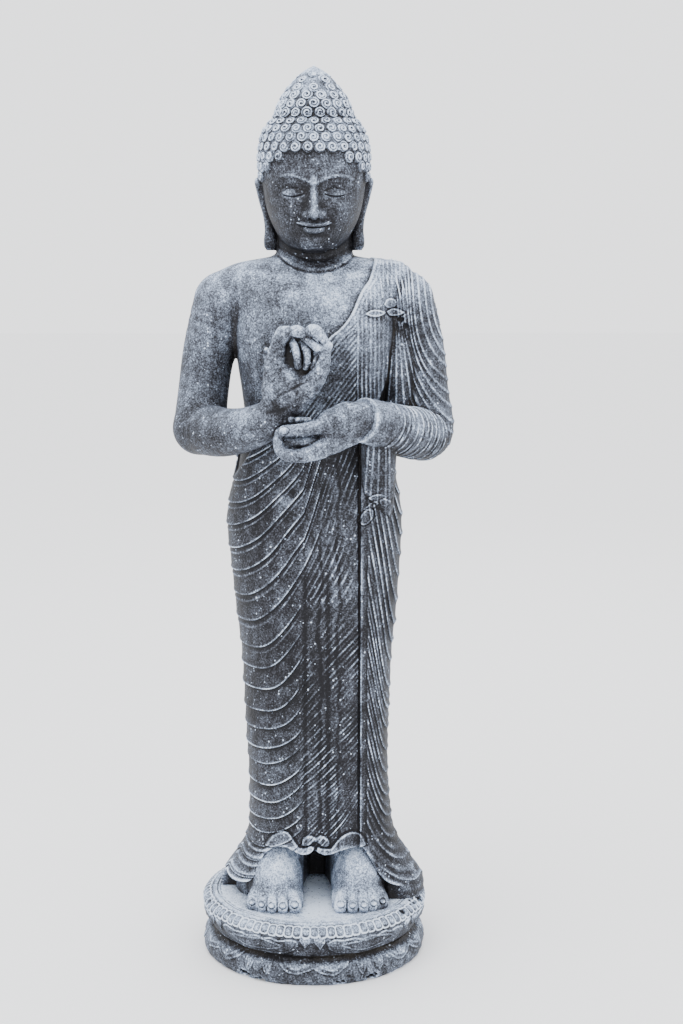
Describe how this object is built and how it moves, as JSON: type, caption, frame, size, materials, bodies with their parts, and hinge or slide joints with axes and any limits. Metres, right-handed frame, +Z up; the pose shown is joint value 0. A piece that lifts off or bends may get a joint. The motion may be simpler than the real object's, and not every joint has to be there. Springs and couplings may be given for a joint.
{
  "type": "standing buddha statue",
  "caption": "Standing Buddha in a pleated robe with both hands raised in a teaching gesture, on a round lotus plinth, cast in grey stone.",
  "frame": {"origin": "centre of the round plinth's flat underside", "axes": "+Z up along the figure's height, -Y the way the figure faces, +X towards the figure's own left hand"},
  "size_m": [0.4631, 0.3885, 1.503],
  "materials": {
    "cast_stone": "matt blue-grey cast stone, weathered pale on the top-facing parts"
  },
  "bodies": {
    "root": {"standing_buddha": "cast_stone"}
  },
  "joints": []
}
